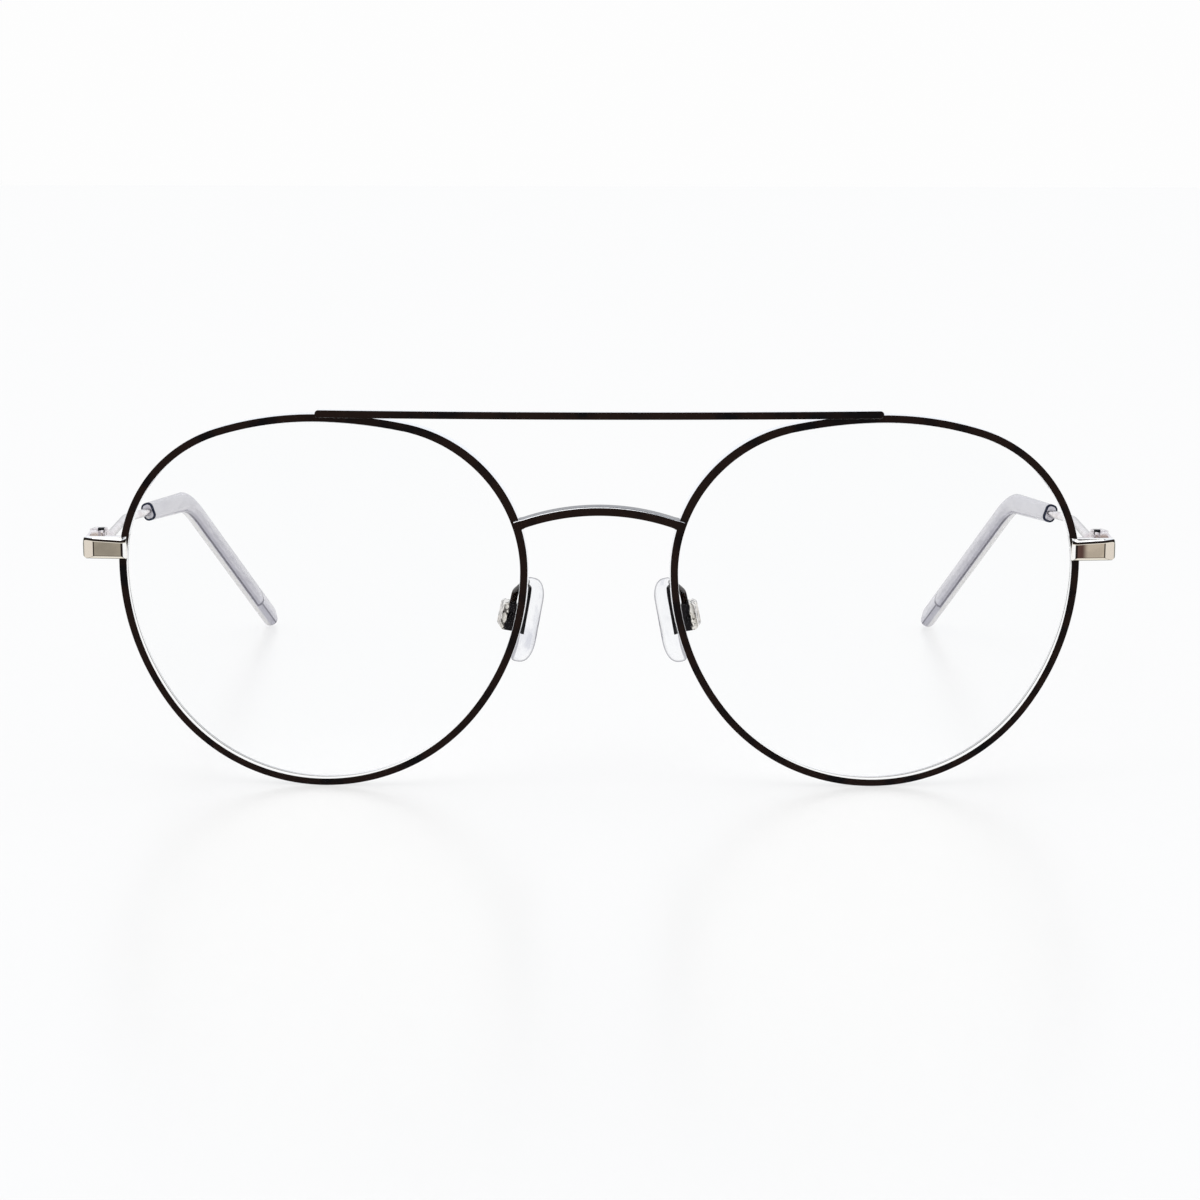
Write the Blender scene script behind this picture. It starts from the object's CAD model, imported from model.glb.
"""Round metal eyeglasses in a pale studio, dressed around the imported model.

Sizes in this file are millimetres in the part's own frame, and become metres when a mesh is made.
+X is to the viewer's right, +Y runs back towards the ears and +Z is up.
"""
import logging
from dataclasses import dataclass
from enum import Enum
from math import acos, asin, atan2, cos, degrees, hypot, pi, radians, sin, sqrt, tan
from typing import Callable, Sequence

import bmesh
import bpy
from mathutils import Matrix, Vector


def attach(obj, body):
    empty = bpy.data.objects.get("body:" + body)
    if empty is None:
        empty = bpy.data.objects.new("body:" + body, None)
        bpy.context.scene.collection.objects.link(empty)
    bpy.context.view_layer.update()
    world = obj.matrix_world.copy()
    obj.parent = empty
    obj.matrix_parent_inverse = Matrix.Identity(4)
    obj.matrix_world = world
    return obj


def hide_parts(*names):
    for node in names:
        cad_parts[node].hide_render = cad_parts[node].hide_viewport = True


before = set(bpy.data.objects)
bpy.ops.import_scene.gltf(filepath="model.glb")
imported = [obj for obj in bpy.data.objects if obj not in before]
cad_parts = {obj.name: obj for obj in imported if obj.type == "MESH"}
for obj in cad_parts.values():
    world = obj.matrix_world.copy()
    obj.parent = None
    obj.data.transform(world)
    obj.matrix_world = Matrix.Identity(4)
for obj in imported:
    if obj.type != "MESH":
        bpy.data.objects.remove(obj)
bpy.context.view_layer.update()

LOG = logging.getLogger("eyeglasses")
MM = 0.001
FRONT = "front"
LAID = "along_and_round"
LAID_SCALE = 0.01
Point2 = tuple[float, float]
Span = tuple[float, float]
Ring = list[Vector]
Edge = tuple[Vector, Vector]
Point3 = tuple[float, float, float]
Runs = tuple[float, ...]
Colour = tuple[float, float, float]
Piece = bpy.types.Object
Material = bpy.types.Material
Node = bpy.types.Node
Socket = bpy.types.NodeSocket
Inputs = dict[str | int, object]
NOISE_RANGE: Span = (0.3, 0.7)


class Side(Enum):
    """One side of the glasses, as the viewer sees them."""

    LEFT = -1
    RIGHT = 1

    @property
    def word(self) -> str:
        """The side's word in the names of nodes and bodies."""
        return self.name.lower()

    @property
    def mirror(self) -> Matrix:
        """The matrix that takes a piece drawn for the right side to this side."""
        return Matrix.Diagonal((self.value, 1.0, 1.0, 1.0))


class Slot(Enum):
    """The record's material slots."""

    LACQUER = "black_lacquer"
    NICKEL = "nickel"
    TIP = "crystal_tip"
    INSERT = "dark_insert"
    PAD = "clear_pad"
    LENS = "lens"


def shift(x: float, y: float, z: float) -> Matrix:
    """The matrix of a move."""
    return Matrix.Translation((x, y, z))


def turn(angle: float, axis: str) -> Matrix:
    """The matrix of a turn by an angle in degrees about X, Y or Z."""
    return Matrix.Rotation(radians(angle), 4, axis)


@dataclass(frozen=True)
class Layout:
    """Places and angles of the model's frames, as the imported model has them."""

    middle_y: float = 65.6737
    stand_z: float = 0.0627905
    lean: float = 3.6
    wrap: float = 4.5
    lens_x: float = 36.85
    split_z: float = 30.2
    pin_x: float = 67.5002
    pin_y: float = 6.61616
    end_z: float = 32.4
    hinge_tilt: float = 5.8
    wire_start_x: float = 0.1
    head_l: float = 9.0
    bow_out: float = 4.1
    front_wire_l: float = 25.0
    bow_turn: float = 5.5
    drop_turn: float = 2.1
    rear_wire_l: float = 20.0
    ear_roll: float = 20.0
    pad_x: float = 12.3
    pad_back: float = 7.0
    pad_z: float = 22.0
    pad_splay: float = 10.0
    pad_tilt: float = 12.0

    @property
    def front(self) -> Matrix:
        """Frame of the leaning front."""
        return shift(0, -self.middle_y, self.stand_z) @ turn(self.lean, "X")

    @property
    def lens(self) -> Matrix:
        """Frame of one lens, with its origin on the outline's widest level."""
        return self.front @ shift(self.lens_x, 0, self.split_z) @ turn(self.wrap, "Z")

    @property
    def hinge(self) -> Matrix:
        """Frame of one hinge, with +Y along the temple."""
        return self.front @ shift(self.pin_x, self.pin_y, self.end_z) @ turn(-self.hinge_tilt, "X")

    @property
    def wire(self) -> Matrix:
        """Frame of the front stretch of the temple wire."""
        return self.hinge @ shift(self.wire_start_x, self.head_l, 0) @ turn(-self.bow_out, "Z")

    @property
    def rear(self) -> Matrix:
        """Frame of the rear stretch of the temple wire."""
        bend = turn(self.bow_turn, "Z") @ turn(-self.drop_turn, "X")
        return self.wire @ shift(0, self.front_wire_l, 0) @ bend

    @property
    def tip(self) -> Matrix:
        """Frame of the temple tip, with its origin at the mouth."""
        return self.rear @ shift(0, self.rear_wire_l, 0) @ turn(self.ear_roll, "Y")

    @property
    def pad(self) -> Matrix:
        """Frame of one nose pad, with its origin on the pad screw."""
        place = self.front @ shift(self.pad_x, self.pad_back, self.pad_z)
        return place @ turn(-self.pad_splay, "Z") @ turn(-self.pad_tilt, "Y")


LAYOUT = Layout()


# Shapes


def fillet(corners: Sequence[Point3], steps: int = 5) -> list[Point2]:
    """Rounds each corner of a closed outline.

    Args:
        corners: Corner points with the radius of each, in order.
        steps: Stretches in each round.

    Returns:
        The outline's points.
    """
    points: list[Point2] = []
    for i, (x, y, radius) in enumerate(corners):
        if radius <= 0:
            points.append((x, y))
            continue
        here = Vector((x, y))
        before = (Vector(corners[i - 1][:2]) - here).normalized()
        after = (Vector(corners[(i + 1) % len(corners)][:2]) - here).normalized()
        half = acos(max(-1.0, min(1.0, before.dot(after)))) / 2
        middle = here + (before + after).normalized() * (radius / sin(half))
        start = here + before * (radius / tan(half)) - middle
        end = here + after * (radius / tan(half)) - middle
        sweep = atan2(start.x * end.y - start.y * end.x, start.dot(end))
        for k in range(steps + 1):
            a = sweep * k / steps
            points.append((
                middle.x + start.x * cos(a) - start.y * sin(a),
                middle.y + start.x * sin(a) + start.y * cos(a),
            ))
    return points


def rounded_bar(across: float, up: float, radius: float) -> list[Point2]:
    """Section of a bar with rounded edges.

    Args:
        across: Width of the section.
        up: Height of the section.
        radius: Radius of its edges.

    Returns:
        The section's points, from the lower edge on the side of +X upwards.
    """
    w, h = across / 2, up / 2
    r = min(radius, w * 0.999, h * 0.999)
    return fillet([(w, -h, r), (w, h, r), (-w, h, r), (-w, -h, r)])


def ring_at(place: Matrix, section: Sequence[Point2]) -> Ring:
    """Section points, drawn across X and Z of a frame, as a ring."""
    return [place @ Vector((x, 0, z)) for x, z in section]


def ring_across(place: Matrix, section: Sequence[Point2]) -> Ring:
    """Section points, drawn across Y and Z of a frame, as a ring."""
    return [place @ Vector((0, y, z)) for y, z in section]


def placed(rings: Sequence[Ring], place: Matrix) -> list[Ring]:
    """Rings taken into a frame."""
    return [[place @ point for point in ring] for ring in rings]


def eased(start: Vector, knee: Vector, end: Vector, t: float) -> Vector:
    """The point at a share of a smooth bend that starts and ends straight towards its knee."""
    return start.lerp(knee, t).lerp(knee.lerp(end, t), t)


def smooth_path(corners: Sequence[Vector], radius: float) -> list[Vector]:
    """Rounds the bends of a path through a few points.

    Args:
        corners: The points.
        radius: Radius of each bend.

    Returns:
        The points of the rounded path.
    """
    steps = 8
    path = [corners[0].copy()]
    for before, here, after in zip(corners, corners[1:], corners[2:]):
        back, on = (before - here).normalized(), (after - here).normalized()
        half = back.angle(on) / 2
        reach = min(radius / tan(half), (before - here).length / 2, (after - here).length / 2)
        start, end = here + back * reach, here + on * reach
        path += [eased(start, here, end, k / steps) for k in range(steps + 1)]
    path.append(corners[-1].copy())
    return path


def lengths_along(points: Sequence[Vector]) -> list[float]:
    """Measures a path.

    Args:
        points: Points of the path.

    Returns:
        The length along it at each point.
    """
    lengths = [0.0]
    for p, q in zip(points, points[1:]):
        lengths.append(lengths[-1] + (q - p).length)
    return lengths


def tube_rings(path: Sequence[Vector], width: Callable[[float], float]) -> list[Ring]:
    """Round rings along a path.

    Args:
        path: Points of the path.
        width: Gives the radius for a share of the path from 0 to 1.

    Returns:
        The rings.
    """
    count = 20
    rings: list[Ring] = []
    way = (path[1] - path[0]).normalized()
    across = way.orthogonal().normalized()
    lengths = lengths_along(path)
    for i, point in enumerate(path):
        ahead = path[min(i + 1, len(path) - 1)] - path[max(i - 1, 0)]
        spin = way.rotation_difference(ahead.normalized())
        way = ahead.normalized()
        across = (spin @ across).normalized()
        other = way.cross(across)
        r = width(lengths[i] / lengths[-1])
        rings.append([
            point + (across * cos(2 * pi * k / count) + other * sin(2 * pi * k / count)) * r
            for k in range(count)
        ])
    return rings


def new_object(name: str, mesh: bpy.types.Mesh) -> Piece:
    """Links a mesh to the scene under a piece's name.

    Args:
        name: Name of the piece.
        mesh: Its mesh, in metres.

    Returns:
        The object.
    """
    mesh.name = name
    obj = bpy.data.objects.new(name, mesh)
    bpy.context.scene.collection.objects.link(obj)
    return obj


def finish_mesh(obj: Piece, sharp: float) -> None:
    """Turns the faces outwards, and shades them smooth up to an angle.

    Args:
        obj: The piece.
        sharp: Angle in degrees above which an edge stays sharp.
    """
    work = bmesh.new()
    work.from_mesh(obj.data)
    bmesh.ops.recalc_face_normals(work, faces=work.faces)
    work.to_mesh(obj.data)
    work.free()
    obj.data.shade_smooth()
    obj.data.set_sharp_from_angle(angle=radians(sharp))
    obj.modifiers.new("even_shading", "WEIGHTED_NORMAL").keep_sharp = True


def loft(name: str, rings: Sequence[Ring], sharp: float) -> Piece:
    """Joins rings of points into one closed skin with ends.

    Args:
        name: Name of the piece.
        rings: Rings with equally many points, in millimetres.
        sharp: Angle in degrees above which an edge stays sharp.

    Returns:
        The piece, with its length along U and its turn round the ring along V.
    """
    count, last = len(rings[0]), len(rings) - 1
    length = lengths_along([ring[0] for ring in rings])
    faces: list[list[int]] = []
    coords: list[Point2] = []
    for i in range(last):
        here, on = i * count, (i + 1) * count
        for k in range(count):
            m = (k + 1) % count
            faces.append([here + k, here + m, on + m, on + k])
            low, high = k / count, (k + 1) / count
            coords += [(length[i], low), (length[i], high), (length[i + 1], high), (length[i + 1], low)]
    for i in (0, last):
        faces.append([i * count + k for k in range(count)])
        coords += [(length[i], k / count) for k in range(count)]
    mesh = bpy.data.meshes.new(name)
    mesh.from_pydata([point * MM for ring in rings for point in ring], [], faces)
    for loop, (u, v) in zip(mesh.uv_layers.new(name=LAID).data, coords):
        loop.uv = (u * LAID_SCALE, v)
    obj = new_object(name, mesh)
    finish_mesh(obj, sharp)
    return obj


def polished(node: str, name: str, width: float) -> Piece:
    """Makes a piece in the shape of a CAD node, with its sharp edges broken.

    Args:
        node: The CAD node.
        name: Name of the piece.
        width: Width of the broken edge.

    Returns:
        The piece, which replaces the node.
    """
    weld, flat, sharp, shaded = 0.001, 0.5, 28.0, 35.0
    work = bmesh.new()
    work.from_mesh(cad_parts[node].data)
    bmesh.ops.scale(work, vec=(1 / MM,) * 3, verts=work.verts)
    bmesh.ops.remove_doubles(work, verts=work.verts, dist=weld)
    bmesh.ops.dissolve_limit(
        work, angle_limit=radians(flat), verts=work.verts, edges=work.edges, delimit=set()
    )
    edges = [
        e for e in work.edges if len(e.link_faces) == 2 and degrees(e.calc_face_angle(0)) > sharp
    ]
    bmesh.ops.bevel(
        work, geom=edges, offset=width, offset_type="OFFSET", segments=3, profile=0.5,
        affect="EDGES", clamp_overlap=True,
    )
    bmesh.ops.scale(work, vec=(MM,) * 3, verts=work.verts)
    mesh = bpy.data.meshes.new(name)
    work.to_mesh(mesh)
    work.free()
    obj = new_object(name, mesh)
    finish_mesh(obj, shaded)
    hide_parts(node)
    return obj


# Finishes


class Graph:
    """The node tree of one finish, or of the studio's light."""

    def __init__(self, name: str, light: bool = False) -> None:
        """Starts an empty tree.

        Args:
            name: Name of the material or of the light.
            light: Whether it is the studio's light.
        """
        self.owner = bpy.data.worlds.new(name) if light else bpy.data.materials.new(name)
        self.owner.use_nodes = True
        self.tree = self.owner.node_tree
        self.tree.nodes.clear()
        self.output = self.add("ShaderNodeOutputWorld" if light else "ShaderNodeOutputMaterial")

    def add(self, kind: str, inputs: Inputs | None = None, **settings: object) -> Node:
        """Adds a node.

        Args:
            kind: The node's type.
            inputs: Numbers, colours or sockets for its inputs, by name or place.
            **settings: The node's own settings.

        Returns:
            The node.
        """
        node = self.tree.nodes.new(kind)
        for key, value in settings.items():
            setattr(node, key, value)
        for key, value in (inputs or {}).items():
            if isinstance(value, bpy.types.NodeSocket):
                self.tree.links.new(value, node.inputs[key])
            elif isinstance(value, tuple) and node.inputs[key].type == "RGBA":
                node.inputs[key].default_value = (*value, 1.0)
            else:
                node.inputs[key].default_value = value
        return node

    def place(self) -> Socket:
        """Socket with the place on the piece, in metres."""
        return self.add("ShaderNodeTexCoord").outputs["Object"]

    def stretched(self, x: float, y: float, z: float) -> Socket:
        """Socket with the place on the piece, stretched along each axis."""
        return self.add("ShaderNodeMapping", {"Vector": self.place(), "Scale": (x, y, z)}).outputs["Vector"]

    def split(self, vector: Socket) -> tuple[Socket, ...]:
        """The three parts of a vector."""
        return tuple(self.add("ShaderNodeSeparateXYZ", {0: vector}).outputs)

    def where(self) -> tuple[Socket, ...]:
        """The place on the piece along X, Y and Z, in millimetres."""
        return self.split(self.stretched(*(1 / MM,) * 3))

    def way(self) -> tuple[Socket, ...]:
        """How far the surface faces along X, Y and Z."""
        return self.split(self.add("ShaderNodeNewGeometry").outputs["Normal"])

    def facing(self) -> Socket:
        """Socket with 0 where the surface faces the eye and 1 at its outline."""
        return self.add("ShaderNodeLayerWeight", {"Blend": 0.5}).outputs["Facing"]

    def laid(self) -> tuple[Socket, Socket]:
        """The length along a lofted piece in millimetres, and the turn round it from 0 to 1."""
        u, v, _ = self.split(self.add("ShaderNodeUVMap", uv_map=LAID).outputs[0])
        return self.maths("MULTIPLY", u, 1 / LAID_SCALE), v

    def noise(self, scale: float, detail: float = 3.0, vector: Socket | None = None) -> Socket:
        """A noise from 0 to 1, by its scale per metre, its detail and the place on the piece."""
        inputs = {"Vector": vector or self.place(), "Scale": scale, "Detail": detail}
        return self.add("ShaderNodeTexNoise", inputs).outputs["Fac"]

    def maths(self, operation: str, *values: object) -> Socket:
        """Adds a sum on one or two values."""
        return self.add("ShaderNodeMath", dict(enumerate(values)), operation=operation).outputs[0]

    def span(self, value: Socket, a: float, b: float, low: float = 0.0, high: float = 1.0) -> Socket:
        """A value mapped smoothly from the range a to b onto the range low to high."""
        inputs = {"Value": value, "From Min": a, "From Max": b, "To Min": low, "To Max": high}
        return self.add("ShaderNodeMapRange", inputs, interpolation_type="SMOOTHSTEP").outputs["Result"]

    def vary(self, noise: Socket, low: float, high: float) -> Socket:
        """Spreads the usual range of a noise over two values."""
        return self.span(noise, *NOISE_RANGE, low, high)

    def line(self, value: Socket, middle: float, half: float, soft: float) -> Socket:
        """1 inside a stripe of a value, by its middle and half width, and 0 beyond its soft borders."""
        off = self.maths("ABSOLUTE", self.maths("SUBTRACT", value, middle))
        return self.span(off, half, half + soft, 1.0, 0.0)

    def both(self, first: object, second: object) -> Socket:
        """The product of two marks, which is 1 only where both are."""
        return self.maths("MULTIPLY", first, second)

    def mix(self, factor: object, a: object, b: object, blend_type: str = "MIX") -> Socket:
        """Two colours mixed, by the share of the second and how they mix."""
        settings = {"data_type": "RGBA", "blend_type": blend_type}
        return self.add("ShaderNodeMix", {0: factor, 6: a, 7: b}, **settings).outputs[2]

    def over(
        self, tone: object, colour: object, value: Socket, a: float, b: float, most: float = 1.0
    ) -> Socket:
        """A tone with a colour over it, from none where a value is a to its most where the value is b."""
        return self.mix(self.span(value, a, b, 0.0, most), tone, colour)

    def bump(self, height: Socket, strength: float, distance: float) -> Socket:
        """The normal bumped by a height from 0 to 1, by the bump's strength and depth in millimetres."""
        inputs = {"Height": height, "Strength": strength, "Distance": distance * MM}
        return self.add("ShaderNodeBump", inputs).outputs["Normal"]

    def shaders(self, factor: object, first: Node, second: Node) -> Node:
        """Mixes two shaders, by the share of the second."""
        return self.add("ShaderNodeMixShader", {0: factor, 1: first.outputs[0], 2: second.outputs[0]})

    def surface(self, shader: Node) -> bpy.types.ID:
        """Ends the tree with a shader, and gives the material or the light."""
        self.tree.links.new(shader.outputs[0], self.output.inputs["Surface"])
        return self.owner

    def by_ray(self, plain: Node, mirrored: Node, seen: Node) -> bpy.types.ID:
        """Ends the tree with a shader for each kind of ray.

        Args:
            plain: What lights other things.
            mirrored: What is mirrored in them.
            seen: What the camera sees, also through clear things.

        Returns:
            The material or the light.
        """
        path = self.add("ShaderNodeLightPath").outputs
        eye = self.maths("MAXIMUM", path["Is Camera Ray"], path["Is Transmission Ray"])
        return self.surface(self.shaders(eye, self.shaders(path["Is Glossy Ray"], plain, mirrored), seen))

    def solid(self, inputs: Inputs, shadow: Colour | None = None) -> Material:
        """Ends the tree with a principled shader.

        Args:
            inputs: The shader's inputs.
            shadow: For a clear material, the colour of the light that it lets through to its shadow.

        Returns:
            The material.
        """
        shader = self.add("ShaderNodeBsdfPrincipled", inputs)
        if shadow is None:
            return self.surface(shader)
        clear = self.add("ShaderNodeBsdfTransparent", {"Color": shadow})
        ray = self.add("ShaderNodeLightPath").outputs["Is Shadow Ray"]
        return self.surface(self.shaders(ray, shader, clear))


@dataclass(frozen=True)
class Lacquer:
    """Black-brown lacquer on a metal wire, which mirrors brightly only where it is glanced along."""

    name: str = "black_lacquer"
    deep: Colour = (0.0016, 0.0015, 0.0024)
    warm: Colour = (0.0115, 0.0055, 0.004)
    warm_span: Span = (0.30, 0.55)
    cloud: Span = (260.0, 4.0)
    grain: Span = (3200.0, 2.0)
    ripple: Span = (700.0, 2.0)
    rough: Span = (0.20, 0.30)
    glance: Colour = (0.945, 0.955, 0.98)
    glance_span: Span = (0.62, 0.79)
    specular: float = 0.05
    near_x: Span = (59.0, 60.0)
    near_z: float = 32.4
    near_half: float = 1.7
    near_soft: float = 0.3

    def material(self) -> Material:
        """Builds the lacquer, which stays dark beside the end pieces.

        Returns:
            The material.
        """
        g = Graph(self.name)
        x, _, z = g.where()
        beside = g.both(
            g.line(z, self.near_z, self.near_half, self.near_soft),
            g.span(g.maths("ABSOLUTE", x), *self.near_x),
        )
        bright = g.both(g.span(g.facing(), *self.glance_span), g.maths("SUBTRACT", 1.0, beside))
        return self.coat(g, self.glance, bright)

    def coat(self, g: Graph, glance: object, bright: Socket) -> Material:
        """Ends a graph with the lacquer.

        Args:
            g: The graph.
            glance: Colour of what it mirrors.
            bright: How much it mirrors, from 0 to 1.

        Returns:
            The material.
        """
        tone = g.over(self.deep, self.warm, g.noise(*self.cloud), *self.warm_span)
        return g.solid({
            "Base Color": g.mix(bright, tone, glance),
            "Metallic": bright,
            "Roughness": g.vary(g.noise(*self.grain), *self.rough),
            "Specular IOR Level": self.specular,
            "Normal": g.bump(g.noise(*self.ripple), 0.10, 0.02),
        })


@dataclass(frozen=True)
class CrownLacquer(Lacquer):
    """The bridge's lacquer, whose rounded crown mirrors the light above in a white line and a grey one."""

    name: str = "crown_lacquer"
    line_span: Span = (0.42, 0.50)
    grey_span: Span = (0.88, 0.94)
    grey: Colour = (0.15, 0.15, 0.165)

    def material(self) -> Material:
        """Builds the lacquer.

        Returns:
            The material.
        """
        g = Graph(self.name)
        _, _, up = g.way()
        return self.coat(g, g.over(self.glance, self.grey, up, *self.grey_span), g.span(up, *self.line_span))


@dataclass(frozen=True)
class Nickel:
    """Polished nickel silver with a faint rosy tone, fine polishing marks and grey outlines."""

    name: str = "polished_nickel"
    clean: Colour = (0.82, 0.79, 0.805)
    warm: Colour = (0.60, 0.52, 0.53)
    warm_span: Span = (0.35, 0.75)
    cloud: Span = (330.0, 4.0)
    outline: Colour = (0.075, 0.075, 0.09)
    outline_span: Span = (0.908, 0.952)
    marks: Point3 = (6000.0, 500.0, 9000.0)
    rough: Span = (0.12, 0.20)

    def metal(self, g: Graph) -> Socket:
        """Adds the metal's colour to a graph, and gives it."""
        tone = g.over(self.clean, self.warm, g.noise(*self.cloud), *self.warm_span)
        return g.over(tone, self.outline, g.facing(), *self.outline_span)

    def shine(self, g: Graph, colour: Socket) -> Material:
        """Ends a graph with polished metal of a colour.

        Args:
            g: The graph.
            colour: The colour.

        Returns:
            The material.
        """
        marks = g.noise(1.0, 3.0, g.stretched(*self.marks))
        return g.solid({
            "Base Color": colour,
            "Metallic": 1.0,
            "Roughness": g.vary(marks, *self.rough),
            "Normal": g.bump(marks, 0.04, 0.01),
        })

    def material(self) -> Material:
        """Builds the metal."""
        g = Graph(self.name)
        return self.shine(g, self.metal(g))


@dataclass(frozen=True)
class PlateNickel(Nickel):
    """Polished nickel of the end plates: a dusky main face between bright bevels."""

    name: str = "plate_nickel"
    left: Colour = (0.325, 0.285, 0.225)
    right: Colour = (0.50, 0.425, 0.335)
    facet: Colour = (0.74, 0.67, 0.58)
    dark: Colour = (0.016, 0.011, 0.009)
    edge: Colour = (0.15, 0.155, 0.125)
    cream: Colour = (0.86, 0.80, 0.69)
    bright: Colour = (0.98, 0.975, 0.965)
    patch: Colour = (0.10, 0.055, 0.045)
    patch_x: Span = (64.6, 65.5)
    edge_x: Span = (68.99, 69.05)
    edge_z: Span = (31.07, 31.01)
    dusk: Span = (420.0, 3.0)
    dusk_range: Span = (0.86, 1.08)

    def face(self, g: Graph, x: Socket) -> Socket:
        """Adds the main face's colour, which differs along the front, to a graph.

        Args:
            g: The graph.
            x: The place along X.

        Returns:
            The colour.
        """
        tone = g.over(self.left, self.right, x, -1.0, 1.0)
        patch = g.both(g.span(x, *self.patch_x, 1.0, 0.0), g.span(x, 0.0, 1.0))
        dusk = g.mix(g.vary(g.noise(*self.dusk), *self.dusk_range), (0, 0, 0), (1, 1, 1))
        return g.mix(1.0, g.mix(patch, tone, self.patch), dusk, blend_type="MULTIPLY")

    def material(self) -> Material:
        """Builds the metal, whose tone follows the way that each facet faces.

        Returns:
            The material.
        """
        g = Graph(self.name)
        across, _, up = g.way()
        x, _, z = g.where()
        out = g.both(across, g.maths("SIGN", x))
        tone = self.face(g, x)
        # Each row is a value, where its colour starts, where it is full, and the colour.
        for value, start, full, colour in (
            (out, 0.13, 0.17, self.dark),
            (out, 0.28, 0.34, self.facet),
            (out, -0.03, -0.09, self.dark),
            (out, -0.40, -0.50, self.bright),
            (up, -0.03, 0.02, self.cream),
            (up, 0.08, 0.13, self.dark),
            (up, 0.46, 0.54, self.bright),
            (up, -0.16, -0.24, self.dark),
            (up, -0.38, -0.46, self.cream),
            (up, -0.74, -0.82, self.edge),
            (out, 0.66, 0.76, self.edge),
            (g.maths("ABSOLUTE", x), *self.edge_x, self.edge),
            (z, *self.edge_z, self.edge),
        ):
            tone = g.over(tone, colour, value, start, full)
        return self.shine(g, tone)


@dataclass(frozen=True)
class BoxNickel(Nickel):
    """Polished nickel of the pad boxes, dark where it mirrors the black rim beside it."""

    name: str = "box_nickel"
    clean: Colour = (0.90, 0.87, 0.82)
    warm: Colour = (0.66, 0.60, 0.50)
    outline_span: Span = (0.82, 0.93)
    dark: Colour = (0.012, 0.011, 0.012)
    fleck: Colour = (0.05, 0.045, 0.04)
    fleck_noise: Span = (1700.0, 2.0)
    fleck_span: Span = (0.55, 0.60)
    fleck_most: float = 0.85
    edge_x: Span = (12.72, 12.52)
    edge_z: float = 22.0
    lean: float = 0.16
    wave_noise: Span = (900.0, 2.0)
    wave: float = 1.2

    def material(self) -> Material:
        """Builds the metal.

        Returns:
            The material.
        """
        g = Graph(self.name)
        x, _, z = g.where()
        lean = g.maths("MULTIPLY", g.maths("SUBTRACT", z, self.edge_z), self.lean)
        wave = g.maths("MULTIPLY", g.maths("SUBTRACT", g.noise(*self.wave_noise), 0.5), self.wave)
        far = g.maths("ADD", g.maths("ADD", g.maths("ABSOLUTE", x), lean), wave)
        flecked = g.over(
            self.metal(g), self.fleck, g.noise(*self.fleck_noise), *self.fleck_span, self.fleck_most
        )
        return self.shine(g, g.over(flecked, self.dark, far, *self.edge_x))


@dataclass(frozen=True)
class ScrewNickel(Nickel):
    """Polished nickel of the hinge screws, with a dark driver's slot."""

    name: str = "screw_nickel"
    dark: Colour = (0.010, 0.010, 0.012)
    half: float = 0.40
    soft: float = 0.08

    def material(self) -> Material:
        """Builds the metal.

        Returns:
            The material.
        """
        g = Graph(self.name)
        x, _, _ = g.where()
        core = g.line(g.maths("ABSOLUTE", x), LAYOUT.pin_x, self.half, self.soft)
        return self.shine(g, g.mix(core, self.metal(g), self.dark))


@dataclass(frozen=True)
class TipAcetate:
    """Clear lavender-grey acetate of the temple tips, with the core showing as a soft dark line."""

    tint: Colour = (0.74, 0.735, 0.79)
    light: Colour = (0.84, 0.83, 0.825)
    shade: Colour = (0.47, 0.465, 0.53)
    core: Colour = (0.15, 0.148, 0.185)
    outline: Colour = (0.33, 0.325, 0.39)
    mouth: Colour = (0.012, 0.018, 0.040)
    shadow: Colour = (0.80, 0.80, 0.83)
    mouth_middle: float = 0.375
    mouth_half: float = 0.325
    core_turn: float = 0.979
    core_half: float = 0.017
    core_soft: float = 0.014
    second_turn: float = 0.88
    second_half: float = 0.010
    second_soft: float = 0.016
    core_end: float = 76.8
    end_half: float = 0.18
    end_soft: float = 0.3

    def material(self) -> Material:
        """Builds the acetate. Its turn starts at the lower outer edge and runs up the outer side.

        Returns:
            The material.
        """
        g = Graph("crystal_tip")
        along, turn = g.laid()
        end = self.core_end
        streaks = g.noise(1.0, 3.0, g.stretched(900.0, 90.0, 900.0))
        tone = g.over(self.tint, self.shade, streaks, 0.35, 0.8, 0.35)
        under = g.both(g.span(turn, 0.0, 0.03), g.span(turn, 0.11, 0.15, 1.0, 0.0))
        beside = g.both(g.span(turn, 0.87, 0.92), g.span(turn, 0.945, 0.96, 1.0, 0.0))
        cored = g.span(along, end - self.end_soft, end + self.end_soft, 1.0, 0.35)
        line = g.both(g.line(turn, self.core_turn, self.core_half, self.core_soft), cored)
        stop = g.both(g.line(along, end, self.end_half, self.end_soft), g.span(turn, 0.6, 0.7))
        beyond = g.span(along, end, end + 2 * self.end_soft)
        second = g.both(g.line(turn, self.second_turn, self.second_half, self.second_soft), beyond)
        # Each row is where the colour goes, its greatest share, and the colour.
        for mark, most, colour in (
            (under, 1.0, self.light),
            (beside, 0.8, self.shade),
            (line, 0.9, self.core),
            (stop, 0.8, self.core),
            (second, 0.8, self.core),
            (g.span(g.facing(), 0.84, 0.97), 0.9, self.outline),
            (g.line(along, self.mouth_middle, self.mouth_half, 0.04), 1.0, self.mouth),
        ):
            tone = g.mix(g.both(mark, most), tone, colour)
        return g.solid({
            "Base Color": tone,
            "Roughness": g.vary(g.noise(900.0), 0.10, 0.18),
            "IOR": 1.2,
            "Transmission Weight": 0.25,
            "Normal": g.bump(g.noise(500.0, 2.0), 0.04, 0.02),
        }, self.shadow)


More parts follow.
